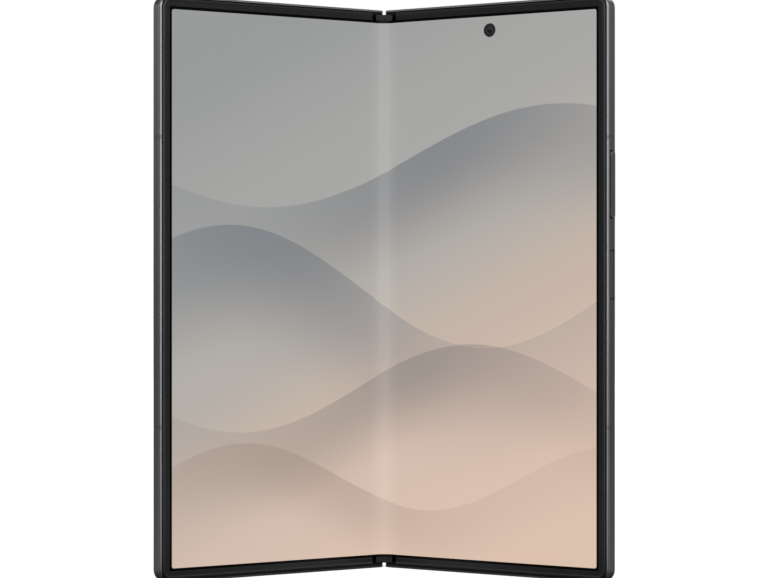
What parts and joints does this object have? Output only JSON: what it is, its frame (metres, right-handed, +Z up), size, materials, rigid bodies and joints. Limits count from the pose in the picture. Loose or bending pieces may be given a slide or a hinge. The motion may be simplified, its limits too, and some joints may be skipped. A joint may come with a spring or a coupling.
{
  "type": "foldable smartphone",
  "caption": "Book-style folding phone standing half open, with a bending inner display, geared hinge, cover display, rear cameras and side keys.",
  "frame": {"origin": "centre of the bounding box at its bottom, on the surface that the lower edges stand on", "axes": "+Z up along the fold, +X across the fold to the half with the keys, +Y from the inner screen to the back of the hinge"},
  "size_m": [0.1248, 0.0412, 0.1586],
  "materials": {
    "graphite_frame": "fine bead-blasted, anodised dark graphite, with brighter polished edges",
    "hinge_cover": "anodised dark graphite, satin",
    "hinge_steel": "ground and plated",
    "screw_steel": "bright plated",
    "antenna_plastic": "moulded flush with the frame",
    "soft_rim": "matte black soft rim",
    "cap_plastic": "moulded, matte",
    "inner_screen": "lit display under a glossy protective layer",
    "support_steel": "thin rolled sheet",
    "cover_glass_black": "polished black glass over a display that is off",
    "back_glass_matte": "etched matt glass, dark graphite",
    "lens_glass": "coated dark glass",
    "camera_metal": "anodised, turned edges",
    "camera_black": "black moulded housing",
    "flash_plastic": "clear lens over a yellow phosphor",
    "battery_wrap": "foil pouch with a dark wrap",
    "board_green": "solder mask",
    "chip_black": "moulded packages",
    "can_steel": "stamped tinned sheet",
    "panel_black": "thin display panel",
    "magnet_nickel": "nickel plated",
    "flex_amber": "polyimide film with copper tracks",
    "coil_copper": "copper wire on a dark ferrite sheet",
    "motor_steel": "stamped case",
    "speaker_black": "moulded speaker box"
  },
  "bodies": {
    "spine": {"spine_cover": "hinge_cover", "hinge_guide_blocks": "hinge_steel", "gear_shafts": "screw_steel", "friction_disc_springs": "screw_steel", "spine_screws": "screw_steel", "hinge_end_caps": "cap_plastic", "display_fold_strip": "inner_screen"},
    "left_half": {"left_frame": "graphite_frame", "left_antenna_breaks": "antenna_plastic", "left_bezel": "soft_rim", "left_display": "inner_screen", "left_support_plate": "support_steel", "left_sliders": "hinge_steel", "left_hinge_screws": "screw_steel", "cover_glass": "cover_glass_black", "cover_display_panel": "panel_black", "cover_camera": "camera_black", "left_battery": "battery_wrap", "left_board": "board_green", "left_board_chips": "chip_black", "top_speaker": "speaker_black", "vibration_motor": "motor_steel", "left_magnets": "magnet_nickel", "sim_reader": "can_steel"},
    "right_half": {"right_frame": "graphite_frame", "right_antenna_breaks": "antenna_plastic", "right_bezel": "soft_rim", "right_display": "inner_screen", "right_support_plate": "support_steel", "right_sliders": "hinge_steel", "right_hinge_screws": "screw_steel", "back_glass": "back_glass_matte", "camera_plate": "camera_metal", "camera_rings": "camera_metal", "camera_lenses": "lens_glass", "camera_modules": "camera_black", "flash_led": "flash_plastic", "inner_camera": "camera_black", "right_battery": "battery_wrap", "main_board": "board_green", "shield_cans": "can_steel", "usb_port": "can_steel", "charging_board": "board_green", "bottom_speaker": "speaker_black", "key_flex": "flex_amber", "wireless_coil": "coil_copper", "right_magnets": "magnet_nickel"},
    "left_arm": {"left_gear_arms": "hinge_steel"},
    "right_arm": {"right_gear_arms": "hinge_steel"},
    "left_idler": {"left_idler_gears": "hinge_steel"},
    "right_idler": {"right_idler_gears": "hinge_steel"},
    "power_key": {"power_key": "graphite_frame"},
    "volume_rocker": {"volume_rocker": "graphite_frame"},
    "sim_tray": {"sim_tray": "graphite_frame"}
  },
  "joints": [
    {"name": "left_fold", "type": "hinge", "parent": "spine", "child": "left_half", "pos_m": [-0.00135, 0.01732, 0.0793], "axis": [0, 0, 1], "range_deg": [-32, 58], "deforming": ["display_fold_strip"]},
    {"name": "right_fold", "type": "hinge", "parent": "spine", "child": "right_half", "pos_m": [0.00135, 0.01732, 0.0793], "axis": [0, 0, 1], "range_deg": [-58, 32], "deforming": ["display_fold_strip"]},
    {"name": "left_arm_turn", "type": "hinge", "parent": "spine", "child": "left_arm", "pos_m": [-0.0021, 0.01812, 0.0793], "axis": [0, 0, 1], "range_deg": [-32, 58]},
    {"name": "left_idler_turn", "type": "hinge", "parent": "spine", "child": "left_idler", "pos_m": [-0.0007, 0.01812, 0.0793], "axis": [0, 0, 1], "range_deg": [-58, 32]},
    {"name": "right_idler_turn", "type": "hinge", "parent": "spine", "child": "right_idler", "pos_m": [0.0007, 0.01812, 0.0793], "axis": [0, 0, 1], "range_deg": [-32, 58]},
    {"name": "right_arm_turn", "type": "hinge", "parent": "spine", "child": "right_arm", "pos_m": [0.0021, 0.01812, 0.0793], "axis": [0, 0, 1], "range_deg": [-58, 32]},
    {"name": "power_key_press", "type": "slide", "parent": "right_half", "child": "power_key", "axis": [-0.848, 0.5299, 0], "range_m": [0, 0.00025], "stiffness_N_per_m": 8000},
    {"name": "volume_rocker_tilt", "type": "hinge", "parent": "right_half", "child": "volume_rocker", "pos_m": [0.06094, -0.01856, 0.10745], "axis": [0.5299, 0.848, 0], "range_deg": [-1.5, 1.5], "stiffness_Nm_per_rad": 0.6},
    {"name": "sim_tray_pull", "type": "slide", "parent": "left_half", "child": "sim_tray", "axis": [0, 0, 1], "range_m": [0, 0.022]}
  ],
  "couplings": [
    {"joint": "right_fold", "follows": "left_fold", "ratio": -1},
    {"joint": "left_arm_turn", "follows": "left_fold", "ratio": 1},
    {"joint": "left_idler_turn", "follows": "left_fold", "ratio": -1},
    {"joint": "right_idler_turn", "follows": "left_fold", "ratio": 1},
    {"joint": "right_arm_turn", "follows": "left_fold", "ratio": -1}
  ]
}
